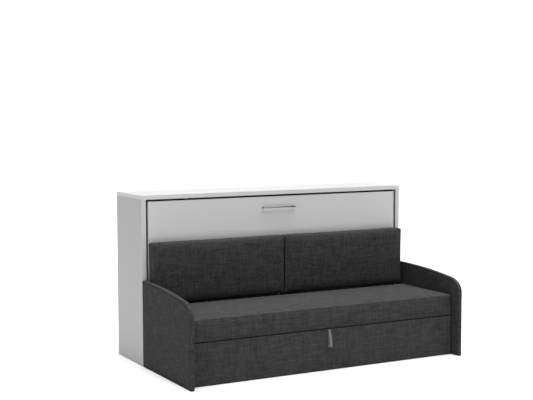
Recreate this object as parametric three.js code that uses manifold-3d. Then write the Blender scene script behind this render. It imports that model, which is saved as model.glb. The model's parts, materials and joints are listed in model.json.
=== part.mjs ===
// Horizontal wall bed with a sofa in front. The bed folds down on its long side, over the seat.
// Millimetres, +Z up, +X along the cabinet, -Y towards the person who sits on the sofa.
// Inside the model group, Y is zero at the cabinet's front edges and Z is zero at the floor.
import * as THREE from 'three';
import { mergeVertices } from 'three/addons/utils/BufferGeometryUtils.js';
import Module from 'manifold-3d';

const wasm = await Module();
wasm.setup();

// Driving sizes: the mattress, and the room that the bed needs round it in the cabinet
const mattressLength = 2000;
const mattressWidth = 900;
const mattressThick = 100;
const strutRoom = 26;
const panelBottom = 175;
const bedBackRoom = 13;
const armrestDepth = 780;

// Clearances
const seatGap = 0.3;
const pinGap = 0.1;
const boreGap = 0.2;
const clothGap = 2.5;
const cutOverrun = 5;

// Cabinet boards
const sideThick = 32;
const topThick = 29;
const boardThick = 18;
const hdfThick = 3.2;
const hdfGroove = 8;
const boardEdge = 1.2;
const plinthGap = 5;
const plinthFoot = 3;
const bottomHeight = 60;
const bottomThick = 16;
const wallRailHeight = 100;

// Front panel and its shadow gaps
const panelSideGap = 16;
const panelTopGap = 14;
const panelRecess = 3;
const panelMargin = 25.5;

// Bed frame: a thin web with an inner ledge for the slats and a foot flange on the panel
const frameWall = 3;
const frameHeight = 54;
const ledgeWidth = 25;
const ledgeHeight = 24;
const footWidth = 18;
const slatCount = 14;
const slatWidth = 55;
const slatThick = 8;
const tapeWidth = 30;
const tapeThick = 1.5;
const tapeSpread = 600;

// Fold pivot, measured from the panel's lower edge and its back
const pivotRise = 415;
const pivotBehindPanel = 15;
const pinRadius = 6;
const pinCollarRadius = 9;
const pinCollarThick = 2;
const plateThick = 3;
const bossRadius = 11;
const fittingRise = 50;
const fittingDrop = 165;
const fittingRound = 10;
const bracketSize = 74;
const screwRadius = 3;

// Gas struts
const strutBallOut = 15;
const strutBallDrop = 140;
const strutTopBack = 124;
const strutTopRise = 310;
const strutLength = 262;
const strutRadius = 9;
const strutBore = 7;
const strutEnd = 6;
const strutEyeRadius = 9;
const strutEyeThick = 12;
const strutPinRadius = 5;
const strutHeadRadius = 8;
const strutHeadThick = 2;
const rodRadius = 4;
const rodEyeThick = 10;
const pistonRadius = 6.7;
const pistonLength = 10;
const rodReach = 38;
const strutFromSide = 14;

// Stops
const openStopReach = 23;
const openStopHeight = 60;
const openStopLength = 50;
const openStopBack = 20;
const closedStopWidth = 36;
const closedStopDepth = 20;
const closedStopOverlap = 7.5;
const closedStopInset = 313;

// Wall brackets
const wallBracketLeg = 40;
const wallBracketWidth = 60;
const wallBracketInset = 329;

// Handle
const handleLength = 266;
const handleOverhang = 8;
const handleRadius = 4.5;
const handlePostRadius = 4;
const handleReach = 24;
const handleFromTop = 77;
const handleRound = 1.5;

// Sofa
const seatSetBack = 78;
const seamHeight = 282;
const seamGap = 4.5;
const seatTop = 434;
const seatRadius = 14;
const seatCrown = 5;
const seatDraw = 3;
const deckThick = 16;
const deckOverhang = 26;
const railHeight = 40;
const railThick = 20;
const rearBoardThick = 16;
const seatClearOfBack = 6;
const armrestThick = 28;
const armrestRear = 596;
const armrestShoulder = 557;
const armrestCorner = 100;
const armrestEdge = 4;

// Back cushions
const backDepth = 100;
const backBottomAboveSeat = 6;
const backTop = 856;
const backEndGap = 12;
const backSplit = 3;
const backRadius = 14;
const backCrown = 4;
const backDraw = 3;
const backBoardThick = 12;
const backBoardInset = 22;

// Mattress form
const mattressRadius = 18;
const mattressCrown = 6;
const mattressDraw = 4;
const mattressSideGap = 5;
const strapWidth = 40;
const strapThick = 1.5;
const strapPitch = 1200;
const strapTuck = 12;

// Drawer
const drawerFloorGap = 4;
const drawerFrontThick = 20;
const drawerFrontEdge = 4;
const drawerSideThick = 12;
const drawerTop = 215;
const drawerRearGap = 22.7;
const drawerSideGap = 24;
const drawerBottomThick = 8;
const tabWidth = 16;
const tabThick = 2.4;
const tabDrop = 120;
const tabReach = 29;
const tabRound = 12;
const tabHead = 14;

// Castors
const wheelRadius = 20;
const wheelWidth = 16;
const wheelLift = 0.5;
const wheelRound = 3;
const hubRadius = 7;
const axleRadius = 3;
const forkThick = 2.4;
const forkPlateLength = 52;
const forkPlateWidth = 40;
const forkCheekRadius = 8;
const castorAbove = 4;
const castorInsetX = 150;
const castorInsetY = 80;

// Facet counts: half the facets of a full circle for an outline, all of them for a revolved form
const discSteps = 8;
const fineDiscSteps = 12;
const cornerSteps = 2;
const latheSteps = 16;
const fineLatheSteps = 24;

// Places that follow from the sizes above
const frameHalfX = mattressLength / 2 + frameWall;
const frameHalfZ = mattressWidth / 2 + frameWall;
const innerHalf = frameHalfX + strutRoom;
const overallWidth = 2 * (innerHalf + sideThick);
const armrestInner = overallWidth / 2 - armrestThick;
const panelHalfX = innerHalf - panelSideGap;
const panelTop = panelBottom + 2 * (frameHalfZ + panelMargin);
const cabinetTopInside = panelTop + panelTopGap;
const bedMidZ = (panelTop + panelBottom) / 2;
const panelBack = panelRecess + boardThick;
const pivotY = panelBack + pivotBehindPanel;
const pivotZ = panelBottom + pivotRise;
const cabinetDepth = pivotY + pivotRise + bedBackRoom;
const frameFront = panelBack + seatGap;
const ledgeTop = frameFront + ledgeHeight + frameWall;
const slatTop = ledgeTop + seatGap + slatThick;
const hdfBack = cabinetDepth - seatGap;
const hdfFront = hdfBack - hdfThick;
const seatFront = -(armrestDepth - seatSetBack);
const seatRear = -(backDepth - panelRecess + seatClearOfBack);
const seatBottom = seamHeight + seamGap / 2;
const drawerFrontTop = seamHeight - seamGap / 2;
const deckTop = seatBottom - seatGap;
const deckBottom = deckTop - deckThick;
const deckFront = seatFront + deckOverhang;
const railTop = deckBottom - seatGap;
const railBottom = railTop - railHeight;
const rearBoardFront = seatRear - rearBoardThick;
const wheelCentreZ = wheelRadius + wheelLift;
const castorPlateTop = wheelCentreZ + wheelRadius + castorAbove + forkThick;
const drawerBottomZ = castorPlateTop + seatGap;
const drawerHalfX = armrestInner - drawerSideGap;

// Finishes
const finish = (color, roughness, metalness) => new THREE.MeshStandardMaterial({ color, roughness, metalness });
const laminate = finish(0xd6d6d6, 0.45, 0);
const hardboard = finish(0xe4e1da, 0.7, 0);
const fabric = finish(0x3a393a, 0.95, 0);
const ticking = finish(0xe9e6df, 0.9, 0);
const birch = finish(0xd8b98a, 0.6, 0);
const rawWood = finish(0xc9a878, 0.75, 0);
const darkBoard = finish(0x39383a, 0.8, 0);
const aluminium = finish(0xb9bcc0, 0.4, 0.9);
const zincSteel = finish(0xa7abb0, 0.45, 0.85);
const satinMetal = finish(0xa9a9a9, 0.35, 0.9);
const blackPaint = finish(0x1d1e20, 0.45, 0.3);
const chromeSteel = finish(0xd8dadd, 0.15, 1);
const greyWebbing = finish(0x8b8b8d, 0.9, 0);
const blackPlastic = finish(0x242527, 0.5, 0);
const greyRubber = finish(0x55575a, 0.8, 0);

const model = new THREE.Group();

function place(name, geometry, material, x = 0, y = 0, z = 0, parent = model) {
  const mesh = new THREE.Mesh(geometry, material);
  mesh.name = name;
  mesh.position.set(x, y, z);
  parent.add(mesh);
  return mesh;
}

// Booleans on closed meshes
function solidOf(geometry) {
  const bare = geometry.clone();
  bare.deleteAttribute('normal');
  bare.deleteAttribute('uv');
  const merged = mergeVertices(bare);
  return new wasm.Manifold(new wasm.Mesh({
    numProp: 3,
    vertProperties: new Float32Array(merged.attributes.position.array),
    triVerts: new Uint32Array(merged.index.array),
  }));
}

function geometryOf(solid) {
  const mesh = solid.getMesh();
  const geometry = new THREE.BufferGeometry();
  geometry.setAttribute('position', new THREE.BufferAttribute(mesh.vertProperties, 3));
  geometry.setIndex(new THREE.BufferAttribute(mesh.triVerts, 1));
  geometry.computeVertexNormals();
  return geometry;
}

function unite(...geometries) {
  const solids = geometries.map(solidOf);
  return geometryOf(solids.reduce((whole, next) => whole.add(next)));
}

function cut(geometry, ...tools) {
  const solids = tools.map(solidOf);
  return geometryOf(solids.reduce((left, next) => left.subtract(next), solidOf(geometry)));
}

// Turns a form made along Z so that it runs along the named axis, with its plan in the other two
function alongAxis(geometry, axis) {
  if (axis === 'y') geometry.applyMatrix4(new THREE.Matrix4().makeBasis(
    new THREE.Vector3(-1, 0, 0), new THREE.Vector3(0, 0, 1), new THREE.Vector3(0, 1, 0)));
  if (axis === 'x') geometry.applyMatrix4(new THREE.Matrix4().makeBasis(
    new THREE.Vector3(0, 1, 0), new THREE.Vector3(0, 0, 1), new THREE.Vector3(1, 0, 0)));
  return geometry;
}

// An outline pushed from zero to length, with its edges eased when ease is given
function extrude(shape, length, ease = 0, steps = discSteps) {
  const geometry = new THREE.ExtrudeGeometry(shape, {
    depth: length - 2 * ease,
    bevelEnabled: ease > 0,
    bevelThickness: ease,
    bevelSize: ease,
    bevelOffset: -ease,
    bevelSegments: 1,
    curveSegments: steps,
  });
  return geometry.translate(0, 0, ease);
}

function rectangle(x0, y0, x1, y1) {
  return new THREE.Shape([
    new THREE.Vector2(x0, y0), new THREE.Vector2(x1, y0),
    new THREE.Vector2(x1, y1), new THREE.Vector2(x0, y1)]);
}

function roundedRectangle(x0, y0, x1, y1, radius) {
  const shape = new THREE.Shape();
  shape.absarc(x1 - radius, y0 + radius, radius, -Math.PI / 2, 0, false);
  shape.absarc(x1 - radius, y1 - radius, radius, 0, Math.PI / 2, false);
  shape.absarc(x0 + radius, y1 - radius, radius, Math.PI / 2, Math.PI, false);
  shape.absarc(x0 + radius, y0 + radius, radius, Math.PI, 1.5 * Math.PI, false);
  return new THREE.Shape(shape.getPoints(cornerSteps));
}

function disc(x, y, radius) {
  const shape = new THREE.Shape();
  shape.absarc(x, y, radius, 0, 2 * Math.PI, false);
  return shape;
}

function holeAt(shape, x, y, radius) {
  const path = new THREE.Path();
  path.absarc(x, y, radius, 0, 2 * Math.PI, true);
  shape.holes.push(path);
}

// A board between two corners, with eased edges, whose thin side is found from its size
function board(name, material, [x0, x1], [y0, y1], [z0, z1], ease = boardEdge, parent = model) {
  const size = [x1 - x0, y1 - y0, z1 - z0];
  const thin = size.indexOf(Math.min(...size));
  const wide = [1, 0, 0][thin];
  const tall = [2, 2, 1][thin];
  const shape = rectangle(-size[wide] / 2, -size[tall] / 2, size[wide] / 2, size[tall] / 2);
  const geometry = extrude(shape, size[thin], ease).translate(0, 0, -size[thin] / 2);
  alongAxis(geometry, 'xyz'[thin]);
  return place(name, geometry, material, (x0 + x1) / 2, (y0 + y1) / 2, (z0 + z1) / 2, parent);
}

function mirrored(geometry, side) {
  if (side > 0) return geometry;
  const copy = (geometry.index ? geometry.toNonIndexed() : geometry.clone()).scale(-1, 1, 1);
  const points = copy.attributes.position;
  for (let i = 0; i < points.count; i += 3) {
    const second = new THREE.Vector3().fromBufferAttribute(points, i + 1);
    const third = new THREE.Vector3().fromBufferAttribute(points, i + 2);
    points.setXYZ(i + 1, third.x, third.y, third.z);
    points.setXYZ(i + 2, second.x, second.y, second.z);
  }
  copy.computeVertexNormals();
  return copy;
}

const sides = [['left', -1], ['right', 1]];

// Stations along one side of a pad: close together in the rounded edges, even between them
function padStations(half, radius, count) {
  const edgeShares = [0, 0.3, 0.65, 1];
  const low = edgeShares.map((share) => -half + share * radius);
  const flat = 2 * (half - radius);
  const middle = Array.from({ length: count - 1 }, (_, i) => -half + radius + flat * (i + 1) / count);
  return [...low, ...middle, ...low.map((value) => -value).reverse()];
}

// How far the crowned face of a pad rises at a place given as shares of its half sizes
const crownShare = (u, v) => (1 - u * u) * (1 - v * v);

// A pad: flat underneath at Z zero, crowned on top, rounded edges, sides drawn in between corners
function padGeometry({ width, depth, thick, radius, crown, draw, counts }) {
  const halves = [width / 2, depth / 2, thick / 2];
  const stations = halves.map((half, i) => padStations(half, radius, counts[i]));
  const segments = stations.map((list) => list.length - 1);
  const geometry = new THREE.BoxGeometry(1, 1, 1, ...segments);
  geometry.deleteAttribute('normal');
  geometry.deleteAttribute('uv');
  const merged = mergeVertices(geometry);
  const points = merged.attributes.position;
  const corner = new THREE.Vector3();
  for (let i = 0; i < points.count; i += 1) {
    const share = [points.getX(i), points.getY(i), points.getZ(i)];
    const p = share.map((value, k) => stations[k][Math.round((value + 0.5) * segments[k])]);
    const core = p.map((value, k) => THREE.MathUtils.clamp(value, radius - halves[k], halves[k] - radius));
    corner.set(p[0] - core[0], p[1] - core[1], p[2] - core[2]);
    if (corner.length() > 0) corner.setLength(radius);
    const u = (core[0] + corner.x) / halves[0];
    const v = (core[1] + corner.y) / halves[1];
    const lift = (core[2] + corner.z + halves[2]) / thick;
    const x = u * halves[0] - draw * (1 - v * v) * u ** 3;
    const y = v * halves[1] - draw * (1 - u * u) * v ** 3;
    points.setXYZ(i, x, y, lift * (thick + crown * crownShare(u, v)));
  }
  merged.computeVertexNormals();
  return merged;
}

// Cabinet: boards with a rebate for the thin back
function sidePanelGeometry() {
  const shape = new THREE.Shape([
    new THREE.Vector2(0, 0),
    new THREE.Vector2(sideThick, 0),
    new THREE.Vector2(sideThick, cabinetDepth),
    new THREE.Vector2(hdfGroove, cabinetDepth),
    new THREE.Vector2(hdfGroove, hdfFront - seatGap),
    new THREE.Vector2(0, hdfFront - seatGap),
  ]);
  return extrude(shape, cabinetTopInside - seatGap, boardEdge);
}

function topPanelGeometry() {
  const shape = new THREE.Shape([
    new THREE.Vector2(0, 0),
    new THREE.Vector2(hdfFront - seatGap, 0),
    new THREE.Vector2(hdfFront - seatGap, hdfGroove),
    new THREE.Vector2(cabinetDepth, hdfGroove),
    new THREE.Vector2(cabinetDepth, topThick),
    new THREE.Vector2(0, topThick),
  ]);
  return alongAxis(extrude(shape, overallWidth, boardEdge), 'x').translate(-overallWidth / 2, 0, 0);
}

function addCabinet() {
  for (const [label, side] of sides) {
    place(`side_panel_${label}`, mirrored(sidePanelGeometry(), side), laminate, side * innerHalf, 0, 0);
  }
  place('top_panel', topPanelGeometry(), laminate, 0, 0, cabinetTopInside);
  const between = [seatGap - innerHalf, innerHalf - seatGap];
  const bottomFront = panelBack + seatGap;
  board('bottom_panel', laminate, between, [bottomFront, hdfFront - seatGap],
    [bottomHeight, bottomHeight + bottomThick]);
  board('plinth_panel', laminate, between, [panelRecess, panelBack], [plinthFoot, panelBottom - plinthGap]);
  const backHalf = innerHalf + hdfGroove - seatGap;
  board('back_panel', hardboard, [-backHalf, backHalf], [hdfFront, hdfBack],
    [bottomHeight, cabinetTopInside + hdfGroove - seatGap], 0);
  const railBack = hdfFront - seatGap;
  board('wall_rail', laminate, between, [railBack - boardThick, railBack],
    [cabinetTopInside - seatGap - wallRailHeight, cabinetTopInside - seatGap]);
}

// Steel angle under the top panel that screws through the wall rail into the wall
function wallBracketGeometry() {
  const angle = new THREE.Shape([
    new THREE.Vector2(0, 0),
    new THREE.Vector2(-wallBracketLeg, 0),
    new THREE.Vector2(-wallBracketLeg, -plateThick),
    new THREE.Vector2(-plateThick, -plateThick),
    new THREE.Vector2(-plateThick, -wallBracketLeg),
    new THREE.Vector2(0, -wallBracketLeg),
  ]);
  const body = alongAxis(extrude(angle, wallBracketWidth), 'x').translate(-wallBracketWidth / 2, 0, 0);
  const holeDrop = -wallBracketLeg / 2 - plateThick;
  const holes = [-1, 1].map((side) => alongAxis(
    extrude(disc(side * wallBracketWidth / 4, holeDrop, screwRadius), wallBracketLeg), 'y')
    .translate(0, -wallBracketLeg / 2, 0));
  return cut(body, ...holes);
}

function addWallBrackets() {
  const back = hdfFront - seatGap - boardThick - seatGap;
  for (const [label, side] of sides) {
    place(`wall_bracket_${label}`, wallBracketGeometry(), zincSteel,
      side * (innerHalf - wallBracketInset), back, cabinetTopInside - seatGap);
  }
}

// Pivot bracket: a plate on the side panel with a boss that carries the pin
function pivotBracketGeometry() {
  const half = bracketSize / 2;
  const plate = roundedRectangle(-half / 2, -half, half, half, fittingRound);
  holeAt(plate, half - fittingRound, half - fittingRound, screwRadius);
  holeAt(plate, half - fittingRound, fittingRound - half, screwRadius);
  holeAt(plate, half - fittingRound, 0, screwRadius);
  const bossLength = innerHalf - frameHalfX - 2 * plateThick - pinCollarThick - 4 * seatGap;
  const boss = alongAxis(extrude(disc(0, 0, bossRadius), bossLength + seatGap), 'x').translate(-bossLength, 0, 0);
  const body = unite(alongAxis(extrude(plate, plateThick), 'x'), boss);
  const bore = alongAxis(extrude(disc(0, 0, pinRadius + pinGap), bossLength + plateThick + 2 * cutOverrun, 0,
    fineDiscSteps), 'x').translate(-bossLength - cutOverrun, 0, 0);
  return cut(body, bore);
}

// Strut bracket: a plate with a headed stud on which the strut's eye turns
function strutBracketGeometry() {
  const plate = roundedRectangle(-bracketSize / 4, -bracketSize / 2, bracketSize / 4, bracketSize / 2, fittingRound);
  holeAt(plate, 0, bracketSize / 2 - fittingRound, screwRadius);
  holeAt(plate, 0, fittingRound - bracketSize / 2, screwRadius);
  const stemLength = strutFromSide + strutEyeThick / 2 - plateThick + seatGap;
  const stem = alongAxis(extrude(disc(0, 0, strutPinRadius), stemLength + seatGap), 'x').translate(-stemLength, 0, 0);
  const head = alongAxis(extrude(disc(0, 0, strutHeadRadius), strutHeadThick), 'x')
    .translate(-stemLength - strutHeadThick + seatGap / 2, 0, 0);
  return unite(alongAxis(extrude(plate, plateThick), 'x'), stem, head);
}

// Open stop: an angle with a rib, whose lower leg holds down the bed panel's rear margin
function openStopSolid() {
  const lower = new THREE.BoxGeometry(openStopReach, openStopLength, plateThick)
    .translate(-openStopReach / 2, 0, plateThick / 2);
  const upper = new THREE.BoxGeometry(plateThick, openStopLength, openStopHeight)
    .translate(-plateThick / 2, 0, openStopHeight / 2);
  const gusset = new THREE.Shape([
    new THREE.Vector2(-plateThick / 2, plateThick / 2),
    new THREE.Vector2(-openStopReach / 2, plateThick / 2),
    new THREE.Vector2(-plateThick / 2, openStopHeight / 2),
  ]);
  const rib = new THREE.ExtrudeGeometry(gusset, { depth: plateThick, bevelEnabled: false })
    .rotateX(Math.PI / 2).translate(0, plateThick / 2, 0);
  return unite(lower, upper, rib);
}

function addFoldFittings() {
  const plateX = innerHalf - seatGap - plateThick;
  for (const [label, side] of sides) {
    place(`pivot_bracket_${label}`, mirrored(pivotBracketGeometry(), side), zincSteel, side * plateX, pivotY, pivotZ);
    place(`strut_bracket_${label}`, mirrored(strutBracketGeometry(), side), zincSteel,
      side * plateX, pivotY + strutTopBack, pivotZ + strutTopRise);
    const openFace = pivotZ - (pivotY - panelBack);
    const openRear = pivotY + pivotRise - openStopBack - openStopLength / 2;
    place(`open_stop_${label}`, mirrored(openStopSolid(), side), zincSteel,
      side * (innerHalf - seatGap), openRear, openFace + seatGap);
    const stopX = side * (panelHalfX - closedStopInset);
    board(`closed_stop_${label}`, blackPlastic,
      [stopX - closedStopWidth / 2, stopX + closedStopWidth / 2],
      [panelBack + seatGap, panelBack + seatGap + closedStopDepth],
      [panelTop - closedStopOverlap, cabinetTopInside - seatGap]);
  }
}

// Bed frame: web, ledge and foot flange all round, as one welded ring
function frameRing(outerX, outerZ, width, low, high) {
  const shape = rectangle(-outerX, -outerZ, outerX, outerZ);
  shape.holes.push(new THREE.Path(
    rectangle(width - outerX, width - outerZ, outerX - width, outerZ - width).getPoints().reverse()));
  return alongAxis(extrude(shape, high - low), 'y').translate(0, low, 0);
}

function bedFrameGeometry() {
  const inner = seatGap;
  const web = frameRing(frameHalfX, frameHalfZ, frameWall, 0, frameHeight);
  const foot = frameRing(frameHalfX - inner, frameHalfZ - inner, footWidth, 0, frameWall);
  const ledge = frameRing(frameHalfX - inner, frameHalfZ - inner, ledgeWidth, ledgeHeight, ledgeHeight + frameWall);
  return unite(web, foot, ledge);
}

// Slats across the bed, sewn to two tapes that keep their spacing
function slatRollGeometry() {
  const reach = mattressLength - slatWidth - 2 * ledgeWidth;
  const slatLength = mattressWidth - 2 * clothGap;
  const slats = Array.from({ length: slatCount }, (_, i) => new THREE.BoxGeometry(slatWidth, slatThick, slatLength)
    .translate(reach * (i / (slatCount - 1) - 1 / 2), slatThick / 2, 0));
  const tapes = [-1, 1].map((side) => new THREE.BoxGeometry(reach, tapeThick, tapeWidth)
    .translate(0, 0, side * tapeSpread / 2));
  return unite(...slats, ...tapes);
}

// Fitting on each end of the frame: a plate with a hole for the pin and a boss for the strut's rod
function bedFittingGeometry() {
  const low = -fittingDrop;
  const front = frameFront - pivotY;
  const plate = roundedRectangle(front, low, front + frameHeight, fittingRise, fittingRound);
  holeAt(plate, 0, 0, pinRadius + seatGap);
  const strutFace = innerHalf - strutFromSide - rodEyeThick / 2 - seatGap;
  const bossLength = strutFace - frameHalfX - seatGap;
  const boss = alongAxis(extrude(disc(strutBallOut, -strutBallDrop, strutPinRadius), bossLength), 'x');
  return unite(alongAxis(extrude(plate, plateThick), 'x'), boss);
}

// Pin: shaft with a collar that bears against the fitting
function pivotPinGeometry() {
  const collar = plateThick + seatGap;
  const length = innerHalf - frameHalfX - 3 * seatGap - plateThick;
  const profile = [
    new THREE.Vector2(0, 0),
    new THREE.Vector2(pinRadius, 0),
    new THREE.Vector2(pinRadius, collar),
    new THREE.Vector2(pinCollarRadius, collar),
    new THREE.Vector2(pinCollarRadius, collar + pinCollarThick),
    new THREE.Vector2(pinRadius, collar + pinCollarThick),
    new THREE.Vector2(pinRadius, length),
    new THREE.Vector2(0, length),
  ];
  return lathe(profile, fineLatheSteps).rotateZ(-Math.PI / 2);
}

// A revolved form, whose faces point out for a profile that climbs along Y
function lathe(profile, steps) {
  const geometry = new THREE.LatheGeometry(profile, steps);
  geometry.deleteAttribute('normal');
  geometry.deleteAttribute('uv');
  return mergeVertices(geometry);
}

function strapGeometry() {
  const half = mattressWidth / 2 - seatGap;
  const rise = slatTop + seatGap + mattressThick;
  const halfLength = mattressLength / 2 - mattressSideGap;
  const nearX = (strapPitch / 2 - strapWidth / 2) / halfLength;
  const over = (z) => rise + clothGap / 2 + mattressCrown * crownShare(nearX, z / half);
  const count = 12;
  const outer = [];
  const inner = [];
  for (let i = 0; i <= count; i += 1) {
    const z = half * (2 * i / count - 1);
    outer.push(new THREE.Vector2(over(z) + strapThick, z));
    inner.push(new THREE.Vector2(over(z), z * (half - strapThick) / half));
  }
  const foot = ledgeTop + strapTuck;
  const points = [
    new THREE.Vector2(foot, -half), ...outer, new THREE.Vector2(foot, half),
    new THREE.Vector2(foot, half - strapThick), ...inner.reverse(), new THREE.Vector2(foot, strapThick - half),
  ];
  return alongAxis(extrude(new THREE.Shape(points), strapWidth), 'x').translate(-strapWidth / 2, 0, 0);
}

function addBed() {
  board('front_panel', laminate, [-panelHalfX, panelHalfX], [panelRecess, panelBack], [panelBottom, panelTop]);
  place('bed_frame', bedFrameGeometry(), aluminium, 0, frameFront, bedMidZ);
  place('slat_roll', slatRollGeometry(), birch, 0, ledgeTop + seatGap, bedMidZ);
  const pad = padGeometry({
    width: mattressLength - 2 * mattressSideGap,
    depth: mattressWidth - 2 * mattressSideGap,
    thick: mattressThick,
    radius: mattressRadius,
    crown: mattressCrown,
    draw: mattressDraw,
    counts: [12, 6, 1],
  }).rotateX(-Math.PI / 2);
  place('mattress', pad, ticking, 0, slatTop + seatGap, bedMidZ);
  for (const [label, side] of sides) {
    place(`mattress_strap_${label}`, strapGeometry(), greyWebbing, side * strapPitch / 2, 0, bedMidZ);
    place(`bed_fitting_${label}`, mirrored(bedFittingGeometry(), side), zincSteel,
      side * (frameHalfX + seatGap), pivotY, pivotZ);
    place(`pivot_pin_${label}`, mirrored(pivotPinGeometry(), side), zincSteel,
      side * (frameHalfX + seatGap), pivotY, pivotZ);
  }
}

// Handle: a round bar on two posts whose ends are hollowed to fit it
function addHandle() {
  const barY = panelRecess - handleReach;
  const z = panelTop - handleFromTop;
  const profile = [
    new THREE.Vector2(0, -handleLength / 2),
    new THREE.Vector2(handleRadius - handleRound, -handleLength / 2),
    new THREE.Vector2(handleRadius, handleRound - handleLength / 2),
    new THREE.Vector2(handleRadius, handleLength / 2 - handleRound),
    new THREE.Vector2(handleRadius - handleRound, handleLength / 2),
    new THREE.Vector2(0, handleLength / 2),
  ];
  place('handle_bar', lathe(profile, fineLatheSteps).rotateZ(-Math.PI / 2), satinMetal, 0, barY, z);
  const saddle = alongAxis(extrude(disc(0, 0, handleRadius + seatGap), 4 * handlePostRadius, 0, fineDiscSteps), 'x')
    .translate(-2 * handlePostRadius, 0, 0);
  const post = alongAxis(extrude(disc(0, 0, handlePostRadius), handleReach - seatGap), 'y');
  const postX = handleLength / 2 - handleOverhang;
  for (const [label, side] of sides) {
    place(`handle_post_${label}`, cut(post, saddle), satinMetal, side * postX, barY, z);
  }
}

// Gas struts: each turns on its bracket, with the rod coming out of its lower end
function strutCylinderGeometry() {
  const neck = strutEyeRadius + strutEnd;
  const profile = [
    new THREE.Vector2(0, strutEyeRadius - seatGap),
    new THREE.Vector2(strutEnd, strutEyeRadius - seatGap),
    new THREE.Vector2(strutRadius, neck),
    new THREE.Vector2(strutRadius, strutLength - boardEdge),
    new THREE.Vector2(strutRadius - boardEdge, strutLength),
    new THREE.Vector2(rodRadius + boreGap, strutLength),
    new THREE.Vector2(rodRadius + boreGap, strutLength - strutEnd),
    new THREE.Vector2(strutBore, strutLength - strutEnd),
    new THREE.Vector2(strutBore, neck + strutEnd),
    new THREE.Vector2(0, neck + strutEnd),
  ];
  const tube = lathe(profile, latheSteps);
  const eye = disc(0, 0, strutEyeRadius);
  holeAt(eye, 0, 0, strutPinRadius + pinGap);
  const eyeBody = extrude(eye, strutEyeThick, 0, fineDiscSteps).rotateY(Math.PI / 2).translate(-strutEyeThick / 2, 0, 0);
  return unite(tube, eyeBody);
}

function rodGeometry(distance) {
  const inner = strutLength - rodReach;
  const profile = [
    new THREE.Vector2(0, inner),
    new THREE.Vector2(pistonRadius, inner),
    new THREE.Vector2(pistonRadius, inner + pistonLength),
    new THREE.Vector2(rodRadius, inner + pistonLength),
    new THREE.Vector2(rodRadius, distance - strutEyeRadius / 2),
    new THREE.Vector2(0, distance - strutEyeRadius / 2),
  ];
  const eye = extrude(disc(0, distance, strutEyeRadius), rodEyeThick)
    .rotateY(Math.PI / 2).translate(-rodEyeThick / 2, 0, 0);
  return unite(lathe(profile, latheSteps), eye);
}

function addStruts() {
  const dy = strutBallOut - strutTopBack;
  const dz = -strutBallDrop - strutTopRise;
  const distance = Math.hypot(dy, dz);
  for (const [label, side] of sides) {
    const strut = new THREE.Group();
    strut.position.set(side * (innerHalf - strutFromSide), pivotY + strutTopBack, pivotZ + strutTopRise);
    strut.rotation.x = Math.atan2(dz, dy);
    model.add(strut);
    place(`strut_cylinder_${label}`, strutCylinderGeometry(), blackPaint, 0, 0, 0, strut);
    place(`strut_rod_${label}`, rodGeometry(distance), chromeSteel, 0, 0, 0, strut);
  }
}

// Sofa: armrests in line with the cabinet's sides, deck on rails, one seat cushion
function armrestGeometry() {
  const shape = new THREE.Shape();
  const rear = -seatGap;
  const slopeEnd = -(armrestDepth - armrestCorner);
  shape.moveTo(rear, 0);
  shape.lineTo(rear, armrestRear);
  shape.bezierCurveTo(slopeEnd / 2, armrestRear, slopeEnd * 4 / 5, (armrestRear + 2 * armrestShoulder) / 3,
    slopeEnd, armrestShoulder - armrestEdge);
  shape.quadraticCurveTo(-armrestDepth, armrestShoulder - armrestCorner / 3,
    -armrestDepth, armrestShoulder - armrestCorner);
  shape.lineTo(-armrestDepth, 0);
  return alongAxis(extrude(shape, armrestThick, armrestEdge, fineDiscSteps), 'x');
}

function addSofa() {
  for (const [label, side] of sides) {
    place(`armrest_${label}`, mirrored(armrestGeometry(), side), fabric, side * armrestInner, 0, 0);
    const outer = side * (armrestInner - seatGap);
    const inner = outer - side * railThick;
    board(`deck_cleat_${label}`, rawWood, [Math.min(inner, outer), Math.max(inner, outer)],
      [deckFront + railThick + seatGap, rearBoardFront - seatGap], [railBottom, railTop]);
  }
  const across = armrestInner - seatGap;
  board('seat_deck', darkBoard, [-across, across], [deckFront, seatRear], [deckBottom, deckTop]);
  board('front_deck_rail', darkBoard, [-across, across], [deckFront, deckFront + railThick], [railBottom, railTop]);
  board('rear_board', rawWood, [-across, across], [rearBoardFront, seatRear], [0, railTop]);
  const seatDepth = seatRear - seatFront;
  const pad = padGeometry({
    width: 2 * (armrestInner - clothGap),
    depth: seatDepth,
    thick: seatTop - seatBottom,
    radius: seatRadius,
    crown: seatCrown,
    draw: seatDraw,
    counts: [14, 5, 1],
  });
  place('seat_cushion', pad, fabric, 0, seatFront + seatDepth / 2, seatBottom);
}

// Back cushions on their board, carried by the front panel
function addBackrest() {
  const boardBack = panelRecess - seatGap;
  const boardFront = boardBack - backBoardThick;
  const bottom = seatTop + backBottomAboveSeat;
  const end = armrestInner - backEndGap;
  board('backrest_board', rawWood, [backBoardInset - end, end - backBoardInset], [boardFront, boardBack],
    [bottom + backBoardInset, backTop - backBoardInset]);
  const width = end - backSplit / 2;
  const pad = padGeometry({
    width,
    depth: backTop - bottom,
    thick: boardFront - seatGap - (panelRecess - backDepth),
    radius: backRadius,
    crown: backCrown,
    draw: backDraw,
    counts: [8, 4, 1],
  }).rotateX(Math.PI / 2);
  for (const [label, side] of sides) {
    place(`back_cushion_${label}`, pad, fabric, side * (backSplit / 2 + width / 2),
      boardFront - seatGap, (backTop + bottom) / 2);
  }
}

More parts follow.
